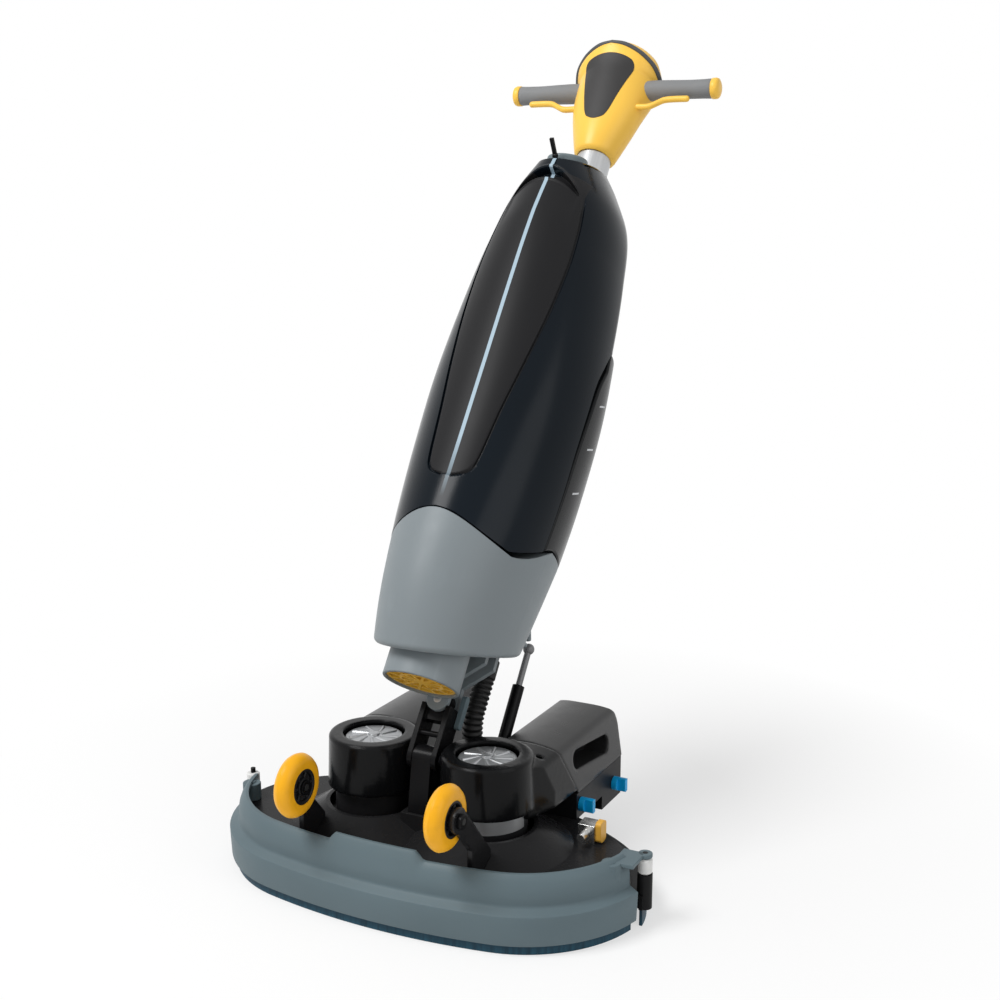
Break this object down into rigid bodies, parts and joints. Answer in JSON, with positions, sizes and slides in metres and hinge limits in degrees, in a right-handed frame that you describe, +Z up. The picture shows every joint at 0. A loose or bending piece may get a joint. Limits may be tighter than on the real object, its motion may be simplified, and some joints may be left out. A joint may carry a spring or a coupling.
{
  "type": "floor scrubber",
  "caption": "Stand-up floor scrubber: a low deck with disc brushes, batteries and a curved squeegee under a tilting body with water tanks, a mast and a squeeze-trigger handle.",
  "frame": {"origin": "on the floor, under the middle of the whole machine's box", "axes": "+Z up, -Y to the front with the bumper and transport wheels, +X to the side of the water valve and latch knobs"},
  "size_m": [0.541, 0.7664, 1.0024],
  "materials": {
    "bumper_blue": "satin",
    "black_gloss": "gloss",
    "dark_matte": "matte",
    "base_grey": "satin",
    "yellow": "gloss",
    "grip_grey": "matte",
    "black_rubber": "matte",
    "blue_rubber": "satin",
    "amber": "gloss",
    "wheel_amber": "satin",
    "tube_aluminium": "satin",
    "cast_aluminium": "matte",
    "steel": "satin",
    "painted_black": "satin",
    "blue_plastic": "satin",
    "white_plastic": "satin",
    "pad_fibre": "matte"
  },
  "bodies": {
    "deck": {"deck_plate": "dark_matte", "front_bumper": "bumper_blue", "splash_strip": "blue_rubber", "pivot_bracket": "painted_black", "tilt_pin": "steel", "squeegee_frame": "dark_matte", "squeegee_blades": "blue_rubber", "suction_duct": "dark_matte", "suction_hose": "black_rubber", "strut_post": "painted_black", "valve_body": "steel", "wheel_bolts": "steel", "brush_motor_right": "cast_aluminium", "brush_motor_left": "cast_aluminium", "motor_cover_right": "black_gloss", "motor_cover_left": "black_gloss", "battery_tray_right": "dark_matte", "battery_tray_left": "dark_matte", "wheel_arm_right": "painted_black", "wheel_arm_left": "painted_black"},
    "yoke": {"yoke": "painted_black", "lean_pin": "steel"},
    "lock_lever": {"lock_lever": "bumper_blue"},
    "upper": {"base_housing": "base_grey", "lean_bracket": "painted_black", "filter_cup": "base_grey", "vacuum_motor": "cast_aluminium", "mast_tube": "tube_aluminium", "head_front_shell": "yellow", "head_gasket": "grip_grey", "head_rear_shell": "yellow", "head_insert": "dark_matte", "handlebar": "steel", "grips": "grip_grey", "grip_end_caps": "yellow"},
    "filter_grille": {"filter_grille": "amber"},
    "front_tank": {"front_tank": "black_gloss"},
    "tank_cap": {"tank_cap": "bumper_blue"},
    "cap_latch": {"cap_latch": "dark_matte"},
    "rear_tank": {"rear_tank": "black_gloss"},
    "strut_cylinder": {"strut_cylinder": "painted_black"},
    "strut_rod": {"strut_rod": "steel"},
    "latch_knob_front": {"latch_knob_front": "blue_plastic"},
    "latch_knob_rear": {"latch_knob_rear": "blue_plastic"},
    "valve_lever": {"valve_lever": "yellow"},
    "brush_right": {"brush_disc_right": "dark_matte", "scrub_pad_right": "pad_fibre"},
    "wheel_right": {"wheel_tyre_right": "wheel_amber", "wheel_hub_right": "dark_matte"},
    "battery_right": {"battery_right": "dark_matte"},
    "wall_roller_right": {"wall_roller_right": "white_plastic"},
    "trigger_right": {"trigger_right": "yellow"},
    "brush_left": {"brush_disc_left": "dark_matte", "scrub_pad_left": "pad_fibre"},
    "wheel_left": {"wheel_tyre_left": "wheel_amber", "wheel_hub_left": "dark_matte"},
    "battery_left": {"battery_left": "dark_matte"},
    "wall_roller_left": {"wall_roller_left": "white_plastic"},
    "trigger_left": {"trigger_left": "yellow"}
  },
  "joints": [
    {"name": "tilt", "type": "hinge", "parent": "deck", "child": "yoke", "pos_m": [0, -0.2222, 0.15], "axis": [-1, 0, 0], "range_deg": [-36, 14], "deforming": ["suction_hose"]},
    {"name": "lean", "type": "hinge", "parent": "yoke", "child": "upper", "pos_m": [0, -0.18341, 0.20339], "axis": [0, 0.809, -0.5878], "range_deg": [-12, 12], "deforming": ["suction_hose"]},
    {"name": "lock_turn", "type": "hinge", "parent": "yoke", "child": "lock_lever", "pos_m": [0, -0.18825, 0.17972], "axis": [1, 0, 0], "range_deg": [-25, 25]},
    {"name": "grille_twist", "type": "hinge", "parent": "upper", "child": "filter_grille", "pos_m": [0, -0.23283, 0.24425], "axis": [0, 0.5878, 0.809], "range_deg": [0, 60]},
    {"name": "front_tank_lift", "type": "slide", "parent": "upper", "child": "front_tank", "axis": [0, -0.809, 0.5878], "range_m": [0, 0.14]},
    {"name": "rear_tank_pull", "type": "slide", "parent": "upper", "child": "rear_tank", "axis": [0, 0.809, -0.5878], "range_m": [0, 0.1]},
    {"name": "cap_open", "type": "hinge", "parent": "front_tank", "child": "tank_cap", "pos_m": [0, 0.1834, 0.81863], "axis": [-1, 0, 0], "range_deg": [0, 60]},
    {"name": "cap_latch_turn", "type": "hinge", "parent": "front_tank", "child": "cap_latch", "pos_m": [0, 0.11582, 0.83256], "axis": [-1, 0, 0], "range_deg": [0, 60]},
    {"name": "strut_swing", "type": "hinge", "parent": "deck", "child": "strut_cylinder", "pos_m": [0.0455, -0.14432, 0.10578], "axis": [-1, 0, 0], "range_deg": [-35, 14]},
    {"name": "strut_stroke", "type": "slide", "parent": "strut_cylinder", "child": "strut_rod", "axis": [0, 0.5878, 0.809], "range_m": [-0.022, 0.055]},
    {"name": "knob_front_turn", "type": "hinge", "parent": "deck", "child": "latch_knob_front", "pos_m": [0.1424, -0.1062, 0.076], "axis": [1, 0, 0], "range_deg": [0, 90]},
    {"name": "knob_rear_turn", "type": "hinge", "parent": "deck", "child": "latch_knob_rear", "pos_m": [0.1424, -0.0042, 0.064], "axis": [1, 0, 0], "range_deg": [0, 90]},
    {"name": "valve_turn", "type": "hinge", "parent": "deck", "child": "valve_lever", "pos_m": [0.1874, -0.1602, 0.072], "axis": [1, 0, 0], "range_deg": [0, 90]},
    {"name": "brush_spin_right", "type": "hinge", "parent": "deck", "child": "brush_right", "pos_m": [0.113, -0.2162, 0.03], "axis": [0, 0, 1], "continuous": true},
    {"name": "wheel_spin_right", "type": "hinge", "parent": "deck", "child": "wheel_right", "pos_m": [0.0935, -0.3472, 0.145], "axis": [1, 0, 0], "continuous": true},
    {"name": "battery_pull_right", "type": "slide", "parent": "deck", "child": "battery_right", "axis": [0, 1, 0], "range_m": [0, 0.16]},
    {"name": "roller_spin_right", "type": "hinge", "parent": "deck", "child": "wall_roller_right", "pos_m": [0.262, -0.2042, 0.067], "axis": [0, 0, 1], "continuous": true},
    {"name": "trigger_squeeze_right", "type": "hinge", "parent": "upper", "child": "trigger_right", "pos_m": [0.028, 0.27724, 0.90207], "axis": [0, -0.809, 0.5878], "range_deg": [0, 5], "stiffness_Nm_per_rad": 1, "springref_deg": -5.73},
    {"name": "brush_spin_left", "type": "hinge", "parent": "deck", "child": "brush_left", "pos_m": [-0.113, -0.2162, 0.03], "axis": [0, 0, 1], "continuous": true},
    {"name": "wheel_spin_left", "type": "hinge", "parent": "deck", "child": "wheel_left", "pos_m": [-0.0935, -0.3472, 0.145], "axis": [1, 0, 0], "continuous": true},
    {"name": "battery_pull_left", "type": "slide", "parent": "deck", "child": "battery_left", "axis": [0, 1, 0], "range_m": [0, 0.16]},
    {"name": "roller_spin_left", "type": "hinge", "parent": "deck", "child": "wall_roller_left", "pos_m": [-0.262, -0.2042, 0.067], "axis": [0, 0, 1], "continuous": true},
    {"name": "trigger_squeeze_left", "type": "hinge", "parent": "upper", "child": "trigger_left", "pos_m": [-0.028, 0.27724, 0.90207], "axis": [0, 0.809, -0.5878], "range_deg": [0, 5], "stiffness_Nm_per_rad": 1, "springref_deg": -5.73}
  ],
  "couplings": [
    {"joint": "strut_swing", "follows": "tilt", "ratio": 0.96},
    {"joint": "strut_stroke", "follows": "tilt", "m_per_rad": -0.0867}
  ]
}
